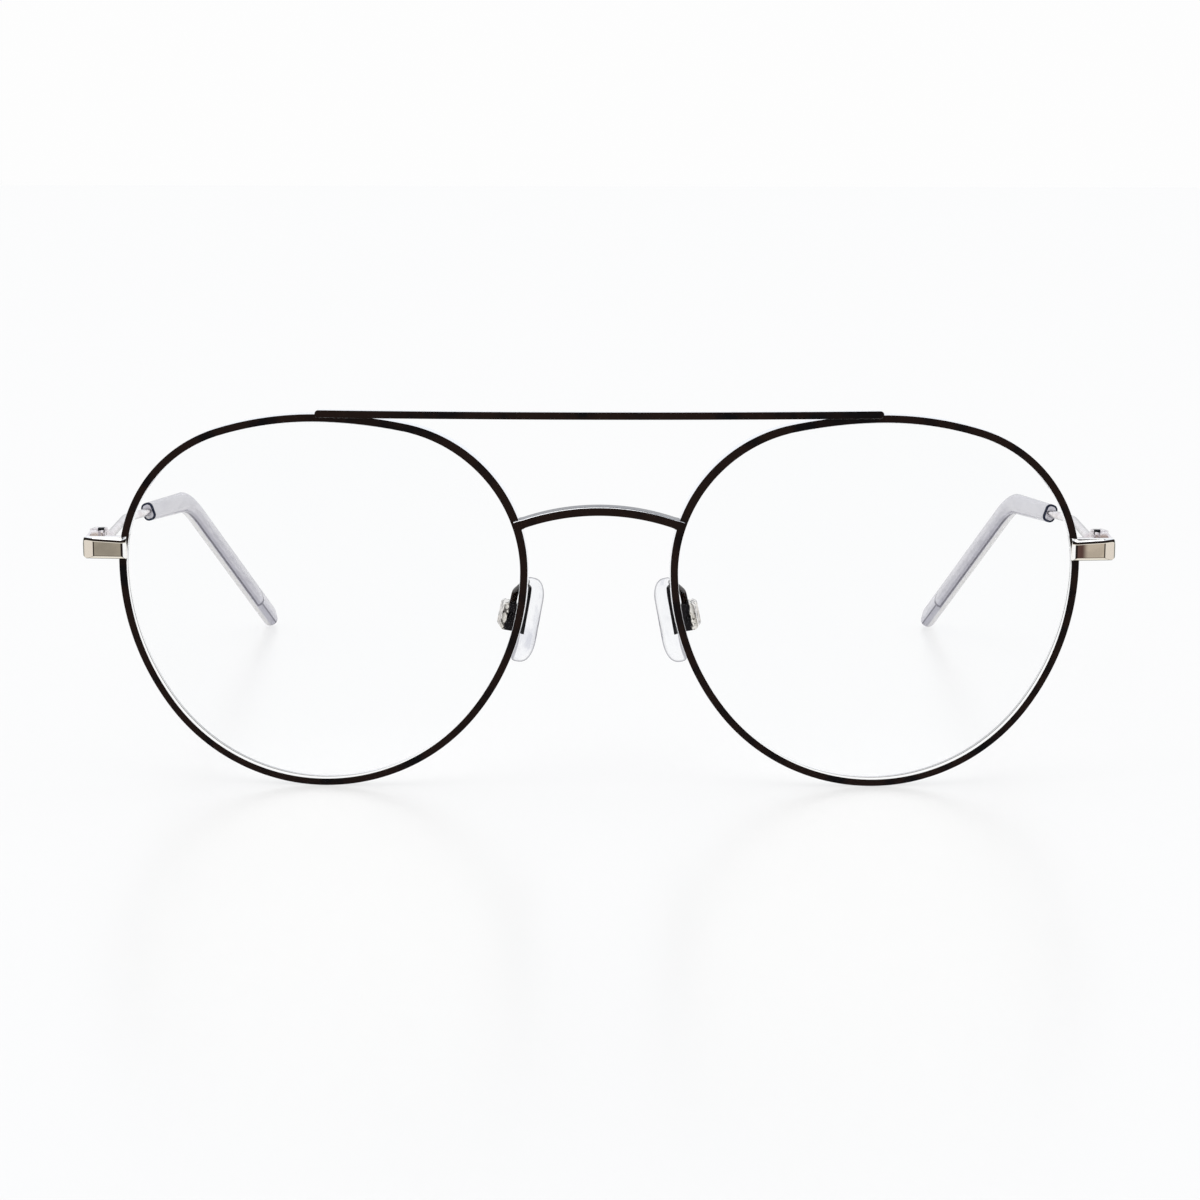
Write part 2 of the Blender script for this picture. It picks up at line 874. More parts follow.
@dataclass(frozen=True)
class PadSilicone:
    """Clear soft silicone of the nose pads, slightly milky, with fine grey outlines."""

    tint: Colour = (0.975, 0.98, 0.99)
    milk: Colour = (0.90, 0.905, 0.935)
    milk_span: Span = (0.4, 0.75)
    streak: Colour = (0.74, 0.75, 0.80)
    streak_span: Span = (0.58, 0.66)
    outline: Colour = (0.20, 0.20, 0.23)
    outline_span: Span = (0.55, 0.80)
    shadow: Colour = (0.93, 0.94, 0.95)

    def material(self) -> Material:
        """Builds the silicone.

        Returns:
            The material.
        """
        g = Graph("clear_silicone")
        cloud = g.noise(1.0, 3.0, g.stretched(500.0, 500.0, 160.0))
        tone = g.over(self.tint, self.milk, cloud, *self.milk_span)
        tone = g.over(tone, self.streak, cloud, *self.streak_span)
        return g.solid({
            "Base Color": g.over(tone, self.outline, g.facing(), *self.outline_span),
            "Roughness": g.vary(g.noise(2600.0, 2.0), 0.0, 0.03),
            "IOR": 1.06,
            "Transmission Weight": 0.97,
            "Normal": g.bump(g.noise(1500.0, 2.0), 0.06, 0.02),
        }, self.shadow)


@dataclass(frozen=True)
class LensGlass:
    """Clear coated lens, with hardly any tint and a few soft smears."""

    tint: Colour = (0.992, 0.995, 0.995)
    smear: Colour = (0.984, 0.989, 0.991)
    shadow: Colour = (0.99, 0.99, 0.99)

    def material(self) -> Material:
        """Builds the glass.

        Returns:
            The material.
        """
        g = Graph("lens_glass")
        smear = g.noise(60.0, 4.0)
        return g.solid({
            "Base Color": g.over(self.tint, self.smear, smear, 0.5, 0.8),
            "Roughness": g.span(smear, 0.55, 0.85, 0.0, 0.01),
            "IOR": 1.08,
            "Transmission Weight": 1.0,
        }, self.shadow)


@dataclass(frozen=True)
class DarkInsert:
    """Black moulded plate and boss inside a nose pad."""

    tone: Colour = (0.004, 0.004, 0.005)
    worn: Colour = (0.012, 0.011, 0.012)

    def material(self) -> Material:
        """Builds the plastic.

        Returns:
            The material.
        """
        g = Graph("dark_insert")
        grain = g.noise(2200.0, 3.0)
        return g.solid({
            "Base Color": g.over(self.tone, self.worn, grain, 0.35, 0.7),
            "Roughness": g.vary(grain, 0.35, 0.5),
            "Specular IOR Level": 0.05,
            "Normal": g.bump(grain, 0.15, 0.01),
        })


class Finishes:
    """Every finish of the glasses, built once."""

    def __init__(self) -> None:
        """Builds the finishes."""
        self.crown = CrownLacquer().material()
        self.wire = Nickel("wire_nickel", outline=(0.11, 0.11, 0.13), outline_span=(0.86, 0.95)).material()
        self.arm = Lacquer("arm_lacquer", glance_span=(0.97, 0.999)).material()
        self.plate = PlateNickel().material()
        self.box = BoxNickel().material()
        self.screw = ScrewNickel().material()
        self.by_slot: dict[Slot, Material] = {
            Slot.LACQUER: Lacquer().material(),
            Slot.NICKEL: Nickel().material(),
            Slot.TIP: TipAcetate().material(),
            Slot.INSERT: DarkInsert().material(),
            Slot.PAD: PadSilicone().material(),
            Slot.LENS: LensGlass().material(),
        }

    def dress(
        self, obj: Piece, slot: Slot, body: str, special: Material | None = None
    ) -> Piece:
        """Gives a new piece its finish, and the body that it rides on.

        Args:
            obj: The piece.
            slot: Its finish.
            body: The CAD body.
            special: A variant of the finish for this piece alone.

        Returns:
            The piece.
        """
        obj.data.materials.clear()
        obj.data.materials.append(special or self.by_slot[slot])
        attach(obj, body)
        LOG.info("%s on %s, %s", obj.name, body, slot.value)
        return obj

    def skin(
        self, name: str, node: str, rings: Sequence[Ring], slot: Slot, body: str = FRONT,
        special: Material | None = None, sharp: float = 40.0,
    ) -> Piece:
        """Lofts a piece in place of a CAD node, and dresses it.

        Args:
            name: Name of the piece.
            node: The CAD node.
            rings: The piece's rings.
            slot: Its finish.
            body: The CAD body that it rides on.
            special: A variant of the finish for this piece alone.
            sharp: Angle in degrees above which an edge stays sharp.

        Returns:
            The piece.
        """
        piece = loft(name, rings, sharp)
        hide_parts(node)
        return self.dress(piece, slot, body, special)

    def dress_node(self, node: str, slot: Slot) -> None:
        """Gives a carried-over CAD node its finish.

        Args:
            node: The node.
            slot: Its finish.
        """
        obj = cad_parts[node]
        for place in obj.material_slots:
            place.material = self.by_slot[slot]
        if not obj.material_slots:
            obj.data.materials.append(self.by_slot[slot])
        LOG.info("%s carried over, %s", node, slot.value)


# The front


@dataclass(frozen=True)
class Quadrant:
    """One quarter of the lens outline: a side arc that runs on into an upper or lower arc."""

    reach: float
    rise: float
    radius: float
    across: int
    up: int

    @property
    def far_radius(self) -> float:
        """Radius of the upper or lower arc."""
        a, b, r = self.reach, self.rise, self.radius
        return (a * a + b * b - 2 * a * r) / (2 * (b - r))

    def side(self, level: float) -> float:
        """How far the side arc reaches at a distance from its widest level."""
        return self.reach - self.radius + sqrt(self.radius ** 2 - level ** 2)

    def path(self, step: float, start: float = 0.0, stop: float = 90.0) -> list[Edge]:
        """Points along the quarter.

        Args:
            step: Step in degrees.
            start: Angle at which it starts.
            stop: Angle at which it ends.

        Returns:
            Pairs of a point and its outward normal, in the plane X and Z.
        """
        a, b, r, far = self.reach, self.rise, self.radius, self.far_radius
        change = degrees(atan2(far - b, a - r) if far > r else atan2(b - far, r - a))
        pairs = []
        count = max(1, round((stop - start) / step))
        for i in range(count + 1):
            angle = start + (stop - start) * i / count
            c, s = cos(radians(angle)), sin(radians(angle))
            if angle <= change:
                point = Vector((a - r + r * c, r * s))
            else:
                point = Vector((far * c, b - far + far * s))
            pairs.append((
                Vector((point.x * self.across, 0, point.y * self.up)),
                Vector((c * self.across, 0, s * self.up)),
            ))
        return pairs


@dataclass
class Rims:
    """The two rim wires, each grooved for its lens and cut at its closing block."""

    width: float = 1.0
    depth: float = 2.0
    groove_depth: float = 0.35
    groove_width: float = 0.31
    groove_round: float = 0.04
    outer_round: float = 0.13
    inner_round: float = 0.10
    cut: float = 0.3
    cut_level: float = 2.2
    outline_shift: float = 0.5
    step: float = 1.0
    brow_swell: float = 0.16
    sharp: float = 50.0
    up_temporal: Quadrant = Quadrant(26.6, 20.1, 18.9, 1, 1)
    up_nasal: Quadrant = Quadrant(27.5, 20.1, 19.3, -1, 1)
    down_nasal: Quadrant = Quadrant(27.5, 29.7, 31.7, -1, -1)
    down_temporal: Quadrant = Quadrant(26.6, 29.7, 32.9, 1, -1)

    def section(self) -> list[Point2]:
        """Section of the wire as pairs of outward reach and depth.

        Returns:
            The section's points.
        """
        w, d = self.width / 2, self.depth / 2
        g, floor = self.groove_width / 2, -w + self.groove_depth
        return fillet([
            (-w, -g, self.groove_round), (-w, -d, self.inner_round), (w, -d, self.outer_round),
            (w, d, self.outer_round), (-w, d, self.inner_round), (-w, g, self.groove_round),
            (floor, g, 0), (floor, -g, 0),
        ])

    def path(self) -> list[Edge]:
        """Centreline from one side of the cut round to the other.

        Returns:
            Pairs of a point and its outward normal.
        """
        radius = self.up_temporal.radius
        first = degrees(asin((self.cut_level + self.cut / 2) / radius))
        last = degrees(asin((self.cut_level - self.cut / 2) / radius))
        return (
            self.up_temporal.path(self.step, first)
            + self.up_nasal.path(self.step)[-2::-1]
            + self.down_nasal.path(self.step)[1:]
            + self.down_temporal.path(self.step)[-2::-1]
            + self.up_temporal.path(self.step, 0.0, last)[1:]
        )

    def build(self, finishes: Finishes) -> None:
        """Builds both rims, which are a little thicker on the inside where they near the brow bar.

        Args:
            finishes: The finishes.
        """
        section = self.section()
        rings = []
        for point, out in self.path():
            swell = 2 * self.brow_swell * max(0.0, -out.x) * max(0.0, out.z)
            middle = point + Vector((self.outline_shift, 0, 0))
            rings.append([
                middle + out * (reach - (swell if reach < 0 else 0)) + Vector((0, back, 0))
                for reach, back in section
            ])
        for side in Side:
            wire = placed(rings, side.mirror @ LAYOUT.lens)
            finishes.skin(f"rim_wire_{side.word}", f"rim_{side.word}", wire, Slot.LACQUER, sharp=self.sharp)


@dataclass
class BrowBar:
    """The straight bar on the front of both rims, with rounded ends."""

    height: float = 1.0
    depth: float = 1.0
    bow: float = 477.956
    touch_y: float = -0.965919
    level: float = 51.0
    edge: float = 0.12
    end_length: float = 0.45
    end_height: float = 0.15
    end_stations: int = 6
    stations: int = 40

    def runs(self, reach: float) -> list[float]:
        """Lengths from the middle at which the bar has a ring, closer together at its ends.

        Args:
            reach: Half of the bar's length.

        Returns:
            The lengths, from one end to the other.
        """
        ends, straight = self.end_stations, reach - self.end_length
        first = [-reach + self.end_length * (1 - cos(pi / 2 * k / ends)) for k in range(ends)]
        middle = [-straight + 2 * straight * k / self.stations for k in range(self.stations + 1)]
        return first + middle + [-run for run in reversed(first)]

    def build(self, finishes: Finishes) -> None:
        """Builds the bar.

        Args:
            finishes: The finishes.
        """
        centre_y = self.touch_y + self.bow * cos(radians(LAYOUT.wrap))
        radius = self.bow + self.depth / 2
        reach = radius * radians(LAYOUT.wrap)
        rings = []
        for run in self.runs(reach):
            angle = run / radius
            left = max(0.0, abs(run) - (reach - self.end_length)) / self.end_length
            share = sqrt(max(0.0, 1 - left * left)) * (1 - self.end_height) + self.end_height
            here = (
                LAYOUT.front
                @ shift(radius * sin(angle), centre_y - radius * cos(angle), self.level)
                @ turn(degrees(angle), "Z")
            )
            rings.append(ring_across(here, rounded_bar(self.depth, self.height * share, self.edge * share)))
        finishes.skin("brow_bar_wire", "brow_bar", rings, Slot.LACQUER)


@dataclass
class Bridge:
    """The arched wire between the rims, flared a little where it is soldered on."""

    height: float = 1.2
    depth: float = 2.0
    rise: float = 2.0
    level: float = 6.0
    edge: float = 0.13
    crown: float = 0.25
    flare: float = 0.16
    flare_start: float = 0.7
    flare_length: float = 0.7
    stations: int = 56

    def build(self, finishes: Finishes, rims: Rims) -> None:
        """Builds the bridge.

        Args:
            finishes: The finishes.
            rims: The rims that it joins.
        """
        side = rims.up_nasal
        wrap = radians(LAYOUT.wrap)
        joint_x = LAYOUT.lens_x + (rims.outline_shift - side.side(self.level)) * cos(wrap)
        joint_y = (rims.outline_shift - side.reach) * sin(wrap)
        arch = (joint_x ** 2 + self.rise ** 2) / (2 * self.rise)
        span = asin((joint_x + rims.width / 4) / arch)
        centre = LAYOUT.split_z + self.level + self.rise - arch
        rings = []
        for k in range(self.stations + 1):
            angle = -span + 2 * span * k / self.stations
            left = (span - abs(angle)) * arch - rims.width * self.flare_start
            near = max(0.0, 1 - max(0.0, left) / self.flare_length)
            y, z = self.depth / 2, self.height * (1 + self.flare * near * near) / 2
            here = (
                LAYOUT.front
                @ shift(arch * sin(angle), joint_y, centre + arch * cos(angle))
                @ turn(degrees(angle), "Y")
            )
            bar = fillet([(y, -z, self.edge), (y, z, self.edge), (-y, z, self.crown), (-y, -z, self.edge)], 8)
            rings.append(ring_across(here, bar))
        finishes.skin("bridge_wire", "bridge", rings, Slot.LACQUER, special=finishes.crown)


@dataclass(frozen=True)
class Bevel:
    """One bevel of an end plate: its width, its angle in degrees and how softly it starts."""

    width: float
    tilt: float
    soft: float

    def drop(self, edge: float) -> float:
        """How far the face drops back.

        Args:
            edge: Distance from the plate's edge.

        Returns:
            The drop, which is eased into over the soft distance.
        """
        run, slope = self.width - edge, tan(radians(self.tilt))
        if abs(run) < self.soft / 2:
            return (run + self.soft / 2) ** 2 / (2 * self.soft) * slope
        return max(0.0, run) * slope


@dataclass
class EndPieces:
    """The bevelled end plates with their walls, the closing blocks and the front hinge leaves."""

    in_x: float = 26.4715
    out_x: float = 32.3715
    back_y: float = -1.0
    front_y: float = -2.1
    level: float = 2.2
    height: float = 3.0
    corner: float = 0.6
    thinnest: float = 0.05
    facet: Bevel = Bevel(1.58, 19.0, 0.34)
    inner: Bevel = Bevel(0.40, 45.0, 0.60)
    upper: Bevel = Bevel(0.42, 52.0, 0.76)
    upper_slant: float = 0.05
    lower: Bevel = Bevel(0.44, 42.0, 0.26)
    edge: Bevel = Bevel(0.15, 60.0, 0.03)
    plate_sharp: float = 30.0
    wall_in_x: float = 68.5002
    wall_out_x: float = 69.1502
    wall_front_y: float = 1.44
    wall_gap: float = 0.05
    wall_corners: tuple[Point3, ...] = ((0.65, 0.12, 0.04), (0.3, 0.02, 0.1), (0.0, 0.5, 0.3))
    wall_steps: tuple[Point3, ...] = (
        (0.0, 1.0, 1.0), (0.3, 1.0, 1.0), (0.6, 1.0, 1.0), (0.97, 1.0, 1.0), (1.0, 0.94, 0.98),
    )
    small_edge: float = 0.05
    columns: int = 130
    rows: int = 72

    def half(self, x: float) -> float:
        """Half of the plate's height at a place along it, which shrinks at its outer corners."""
        into = max(0.0, x - (self.out_x - self.corner))
        return self.height / 2 - self.corner + sqrt(max(0.0, self.corner ** 2 - into ** 2))

    def face_y(self, x: float, half: float, z: float) -> float:
        """Depth of the plate's bevelled front face.

        Args:
            x: Place along the plate.
            half: Half of the plate's height there.
            z: Place up the plate, from its middle.

        Returns:
            The depth.
        """
        out, above, below = self.out_x - x, half - z, half + z
        drop = max(self.facet.drop(out), self.inner.drop(x - self.in_x), self.lower.drop(below))
        drop += self.upper.drop(above + self.upper_slant * (x - self.in_x)) + self.edge.drop(min(out, below))
        return min(self.front_y + drop, self.back_y - self.thinnest)

    def plate_rings(self) -> list[Ring]:
        """Rings of the plate across its length, from its inner edge to its outer one.

        Returns:
            The rings.
        """
        rings = []
        for i in range(self.columns + 1):
            x = self.in_x + (self.out_x - self.in_x) * i / self.columns
            half = self.half(x)
            points = [Vector((x, self.back_y, half)), Vector((x, self.back_y, -half))]
            for j in range(self.rows + 1):
                z = -half + 2 * half * j / self.rows
                points.append(Vector((x, self.face_y(x, half, z), z)))
            rings.append([point + Vector((0, 0, self.level)) for point in points])
        return rings

    def wall_rings(self) -> list[Ring]:
        """Rings of the wall, from the back of the plate to the hinge.

        A corner is its distance from the outer face, its distance from the top or bottom, and its radius.
        A step is a share of the wall's length, of its width and of its height.

        Returns:
            The rings.
        """
        here = LAYOUT.front @ shift((self.wall_in_x + self.wall_out_x) / 2, 0, LAYOUT.end_z)
        half_x, half_z = (self.wall_out_x - self.wall_in_x) / 2, self.height / 2
        corners = [(half_x - into, half_z - below, soft) for into, below, soft in self.wall_corners]
        bar = fillet([(x, -z, soft) for x, z, soft in corners] + corners[::-1])
        slope = sin(radians(LAYOUT.hinge_tilt))
        rings = []
        for share, wide, high in self.wall_steps:
            ring = []
            for x, z in bar:
                end = LAYOUT.pin_y - (self.wall_gap + z * slope)
                y = self.wall_front_y + (end - self.wall_front_y) * share
                ring.append(here @ Vector((x * wide, y, z * high)))
            rings.append(ring)
        return rings

    def build(self, finishes: Finishes) -> None:
        """Builds the end pieces of both sides.

        Args:
            finishes: The finishes.
        """
        plate_rings, wall_rings = self.plate_rings(), self.wall_rings()
        for side in Side:
            s = side.word
            plate = placed(plate_rings, side.mirror @ LAYOUT.lens)
            finishes.skin(
                f"end_plate_{s}", f"end_piece_{s}", plate, Slot.NICKEL,
                special=finishes.plate, sharp=self.plate_sharp,
            )
            finishes.skin(f"end_wall_{s}", f"end_piece_{s}", placed(wall_rings, side.mirror), Slot.NICKEL)
            for node, name, special in (
                ("rim_lock_upper", "closing_block_upper", None),
                ("rim_lock_lower", "closing_block_lower", None),
                ("front_hinge", "hinge_leaf", None),
                ("hinge_screw", "hinge_pin", finishes.screw),
                ("rim_lock_screw", "closing_screw", None),
            ):
                piece = polished(f"{node}_{s}", f"{name}_{s}", self.small_edge)
                finishes.dress(piece, Slot.NICKEL, FRONT, special)


@dataclass
class Lenses:
    """The two clear lenses, carried over from the model."""

    def build(self, finishes: Finishes) -> None:
        """Dresses both lenses."""
        for side in Side:
            finishes.dress_node(f"lens_{side.word}", Slot.LENS)


# The nose pads


@dataclass
class PadArms:
    """The black arms that carry the pad boxes, bent smoothly from the rim."""

    width: float = 0.95
    foot_level: float = 2.4
    foot_length: float = 2.4
    foot_straight: float = 0.2
    lift: float = 3.3
    seat_in: float = 0.2
    box_height: float = 3.8
    seat_gap: float = 0.02
    bend: float = 1.1
    flare: float = 0.3
    flare_share: float = 0.09

    def radius(self, share: float) -> float:
        """Radius of the arm at a share of its length, which flares at its foot on the rim."""
        near = max(0.0, 1 - share / self.flare_share)
        return self.width / 2 * (1 + self.flare * near * near)

    def build(self, finishes: Finishes, rims: Rims) -> None:
        """Builds both arms.

        Args:
            finishes: The finishes.
            rims: The rims that they stand on.
        """
        x = rims.outline_shift - rims.down_nasal.side(self.foot_level)
        back = rims.depth / 2 + self.seat_gap
        foot = LAYOUT.lens @ Vector((x, back, -self.foot_level))
        knee = LAYOUT.lens @ Vector((x, back + self.foot_length, -self.foot_level))
        top = LAYOUT.pad @ Vector((-self.seat_in, 0, self.lift))
        seat = LAYOUT.pad @ Vector((-self.seat_in, 0, self.box_height / 2 + self.seat_gap))
        path = smooth_path([foot, foot.lerp(knee, self.foot_straight), knee, top, seat], self.bend)
        rings = tube_rings(path, self.radius)
        for side in Side:
            finishes.skin(
                f"pad_arm_wire_{side.word}", f"pad_arm_{side.word}", placed(rings, side.mirror),
                Slot.LACQUER, special=finishes.arm,
            )


@dataclass
class NosePads:
    """The clear pads with their inserts, boxes and screws."""

    length: float = 11.8
    lower_width: float = 7.0
    upper_width: float = 5.6
    low: float = 0.3
    stand: float = 1.5
    pocket: Point2 = (3.24, 6.24)
    pocket_up: float = 1.0
    pocket_depth: float = 0.52
    profile: tuple[Span, ...] = (
        (0.55, 0.0), (0.32, 0.03), (0.14, 0.12), (0.04, 0.28), (0.0, 0.5), (0.0, 1.0),
        (0.06, 1.35), (0.2, 1.68), (0.42, 1.96), (0.75, 2.2), (1.15, 2.4), (1.6, 2.54),
        (2.05, 2.63), (2.4, 2.68),
    )
    flange: tuple[Span, ...] = (
        (0.4, 0.06), (0.0, 0.1), (-0.03, 0.14), (-0.03, 0.38), (0.0, 0.42), (0.4, 0.44),
    )
    flange_reach: Span = (-1.7, 4.6)
    insert_edge: float = 0.06
    box_edge: float = 0.17
    screw_edge: float = 0.05
    around: int = 72
    halvings: int = 28
    fill: float = 0.9

    @property
    def angles(self) -> list[float]:
        """Directions of a ring's points from the pad's middle, from its width towards its top."""
        return [2 * pi * (k + 0.5) / self.around for k in range(self.around)]

    def reach(self, angle: float, inset: float) -> Point2:
        """Edge of the pad's outline in one direction from its middle.

        Args:
            angle: The direction.
            inset: How far the outline is drawn in.

        Returns:
            The point, as width and height.
        """
        r1, r2 = self.lower_width / 2 - inset, self.upper_width / 2 - inset
        z1 = -self.low - self.length / 2 + self.lower_width / 2
        z2 = -self.low + self.length / 2 - self.upper_width / 2
        gap = z2 - z1
        lean = (r1 - r2) / gap
        level = sqrt(1 - lean * lean)
        low, high = 0.0, self.length
        for _ in range(self.halvings):
            far = (low + high) / 2
            y, z = abs(far * cos(angle)), far * sin(angle) - self.low - z1
            along = z * level - y * lean
            if along < 0:
                out = hypot(y, z) - r1
            elif along > gap * level:
                out = hypot(y, z - gap) - r2
            else:
                out = y * level + z * lean - r1
            low, high = (far, high) if out < 0 else (low, far)
        return low * cos(angle), low * sin(angle) - self.low

    def pocket_edge(self, angle: float, share: float = 1.0) -> Point2:
        """Edge of the insert's pocket in one direction from the pad's middle.

        Args:
            angle: The direction.
            share: Share of the pocket's size.

        Returns:
            The point, as width and height.
        """
        w, h = self.pocket[0] / 2 * share, self.pocket[1] / 2 * share
        middle = (self.low + self.pocket_up) * share
        c, s = cos(angle), sin(angle)
        top = h + middle if s > 0 else h - middle
        far = min(w / max(abs(c), 1e-6), top / max(abs(s), 1e-6))
        return far * c, far * s - self.low

    def outlines(self, profile: Sequence[Span]) -> list[Ring]:
        """Rings of the pad's outline, each drawn in and set back by a step of a profile."""
        return [
            [Vector((-self.stand - depth, *self.reach(a, inset))) for a in self.angles]
            for inset, depth in profile
        ]

    def rings(self) -> list[Ring]:
        """Rings of the pad from its pocket's floor round its back edge to its crown.

        Returns:
            The rings.
        """
        pocket = [
            [Vector((-self.stand - depth, *self.pocket_edge(a, share))) for a in self.angles]
            for share, depth in (
                (0.05, self.pocket_depth), (0.5, self.pocket_depth), (1.0, self.pocket_depth), (1.0, 0.0)
            )
        ]
        return pocket + self.outlines(self.profile)

    def flange_rings(self) -> list[Ring]:
        """Rings of the insert's flange round the pad's back edge, towards the crown.

        Returns:
            The rings.
        """
        low, high = self.flange_reach
        return [
            [Vector((p.x, p.y, min(max(p.z, low), high))) for p in ring]
            for ring in self.outlines(self.flange)
        ]

    def build(self, finishes: Finishes) -> None:
        """Builds the pads of both sides.

        Args:
            finishes: The finishes.
        """
        for side in Side:
            s = side.word
            place, body = side.mirror @ LAYOUT.pad, f"pad_{s}"
            pad = finishes.skin(
                f"silicone_pad_{s}", f"nose_pad_{s}", placed(self.rings(), place), Slot.PAD, body
            )
            insert = polished(f"pad_insert_{s}", f"insert_plate_{s}", self.insert_edge)
            finishes.dress(insert, Slot.INSERT, body)
            flange = placed(self.flange_rings(), place)
            finishes.skin(f"insert_flange_{s}", f"pad_insert_{s}", flange, Slot.INSERT, body)
            for node, name, edge in (
                ("pad_box", "pad_holder", self.box_edge), ("pad_screw", "pad_pin", self.screw_edge)
            ):
                piece = polished(f"{node}_{s}", f"{name}_{s}", edge)
                finishes.dress(piece, Slot.NICKEL, FRONT, finishes.box)


# The temples


@dataclass
class Temples:
    """The thin temples: a flat head, a round wire and a flat core inside the tip."""

    head_height: float = 3.0
    head_gap: float = 0.05
    head_short: float = 0.55
    head_edge: float = 0.12
    head_stations: int = 26
    leaf_x: float = 1.0
    head_out_x: float = 1.65
    leaf_end: float = 3.25
    neck_length: float = 2.5
    neck_fall: float = 1.9
    head_thickness: float = 1.4
    shoulder: float = 0.65
    wire: float = 1.2
    front_runs: Runs = (0.6, 6.0, 12.0, 18.0)
    knee: float = 1.5
    rear_runs: Runs = (6.0, 11.0, 16.0)
    rear_short: float = 0.4
    core_height: float = 1.9
    core_width: float = 0.7
    core_round: float = 0.33
    core_runs: Runs = (3.5, 9.0, 17.0, 25.0)
    nose_length: float = 2.2
    nose_least: float = 0.1
    nose_width: float = 0.6
    nose_round: float = 0.3
    nose_lift: float = 0.3
    flat_start: float = 0.3
    flat_length: float = 2.6
    drop_runs: Runs = (8.0, 16.0, 24.0, 32.0)
    mouth_l: float = 31.8104
    ear_radius: float = 22.0
    ear_angle: float = 29.0
    core_drop: float = 34.7
    tip_drop: float = 43.096
    tip_height: float = 2.8
    tip_width: float = 1.9
    tip_round: float = 0.82
    tip_flare: float = 1.32
    tip_runs: Runs = (2.0, 7.0, 13.0, 19.0, 25.0)
    tip_last_run: float = 40.0
    tip_end: float = 86.0
    lip: float = 0.36
    leaf_edge: float = 0.05

    def on_bend(self, angle: float, run: float) -> Matrix:
        """Frame at an angle round the ear bend, and at a run along the straight from there."""
        middle = shift(0, self.mouth_l, -self.ear_radius) @ turn(-angle, "X")
        return LAYOUT.tip @ (middle @ shift(0, run, self.ear_radius))

    def head_rings(self) -> list[Ring]:
        """Rings of the flat head, from the hinge to the round wire.

        Returns:
            The rings.
        """
        rings = []
        neck_y = LAYOUT.head_l - self.neck_length
        out_end, half = LAYOUT.wire_start_x + self.shoulder, self.wire / 2
        for k in range(self.head_stations + 1):
            y = self.head_gap + (LAYOUT.head_l - self.head_short) * k / self.head_stations
            if y <= neck_y:
                outer = self.head_out_x + (out_end - self.head_out_x) * (y / neck_y)
                into = max(0.0, y - self.leaf_end) / (neck_y - self.leaf_end)
                inner = self.leaf_x + (out_end - self.head_thickness - self.leaf_x) * into
                inner = max(inner, outer - self.head_thickness)
            else:
                t = (y - neck_y) / self.neck_length
                outer = out_end + (LAYOUT.wire_start_x + half - out_end) * t
                inner = out_end - self.head_thickness
                inner += (LAYOUT.wire_start_x - half - inner) * t
            past = max(0.0, y - self.leaf_end)
            fall = min(1.0, self.neck_fall * past / (LAYOUT.head_l - self.leaf_end))
            up = self.head_height + (self.wire - self.head_height) * fall
            edge = self.head_edge + (half - self.head_edge) * fall ** 2
            bar = rounded_bar(outer - inner, up, min(edge, up / 2))
            rings.append(ring_at(LAYOUT.hinge @ shift((outer + inner) / 2, y, 0), bar))
        return rings

    def wire_rings(self) -> list[Ring]:
        """Rings of the round wire, with its knee between the front and the rear stretch.

        Returns:
            The rings.
        """
        bar = rounded_bar(self.wire, self.wire, self.wire / 2)
        runs = (*self.front_runs, LAYOUT.front_wire_l - self.knee)
        rings = [ring_at(LAYOUT.wire @ shift(0, run, 0), bar) for run in runs]
        before, after = LAYOUT.wire.to_quaternion(), LAYOUT.rear.to_quaternion()
        knee = LAYOUT.rear.to_translation()
        start = knee - before @ Vector((0, self.knee, 0))
        end = knee + after @ Vector((0, self.knee, 0))
        steps = 8
        for k in range(1, steps):
            t = k / steps
            turned = before.slerp(after, t).to_matrix().to_4x4()
            rings.append(ring_at(Matrix.Translation(eased(start, knee, end, t)) @ turned, bar))
        runs = (self.knee, *self.rear_runs, LAYOUT.rear_wire_l - self.rear_short)
        return rings + [ring_at(LAYOUT.rear @ shift(0, run, 0), bar) for run in runs]

    def core_rings(self) -> list[Ring]:
        """Rings of the flat core inside the tip, from the round wire to its rounded end.

        Returns:
            The rings.
        """
        rings = []
        steps = 12
        for k in range(steps + 1):
            t = k / steps
            blend = t * t * (3 - 2 * t)
            wide = self.wire + (self.core_width - self.wire) * blend
            tall = self.wire + (self.core_height - self.wire) * blend
            here = LAYOUT.rear @ shift(0, LAYOUT.rear_wire_l - self.flat_start + self.flat_length * t, 0)
            here = here @ turn(LAYOUT.ear_roll * blend, "Y")
            rings.append(ring_at(here, rounded_bar(wide, tall, wide / 2)))
        core = rounded_bar(self.core_width, self.core_height, self.core_round)
        rings += [ring_at(LAYOUT.tip @ shift(0, run, 0), core) for run in self.core_runs]
        steps = 16
        rings += [ring_at(self.on_bend(self.ear_angle * k / steps, 0), core) for k in range(steps + 1)]
        nose = self.core_drop - self.nose_length
        rings += [ring_at(self.on_bend(self.ear_angle, run), core) for run in (*self.drop_runs, nose)]
        steps = 6
        for k in range(1, steps + 1):
            t = k / steps
            share = sqrt(max(0.0, 1 - t * t)) * (1 - self.nose_least) + self.nose_least
            wide = self.core_width * (self.nose_width + (1 - self.nose_width) * share)
            bar = rounded_bar(wide, self.core_height * share, self.nose_round)
            lifted = [(x, z + (1 - share) * self.core_height * self.nose_lift) for x, z in bar]
            rings.append(ring_at(self.on_bend(self.ear_angle, nose + self.nose_length * t), lifted))
        return rings

    def tip_bar(self, grow: float, draw: float = 0.0) -> list[Point2]:
        """Section of the tip, by its growth from the mouth's size and how far it is drawn in."""
        return rounded_bar(
            self.tip_width * grow - draw, self.tip_height * grow - draw, self.tip_round * grow - draw / 2
        )

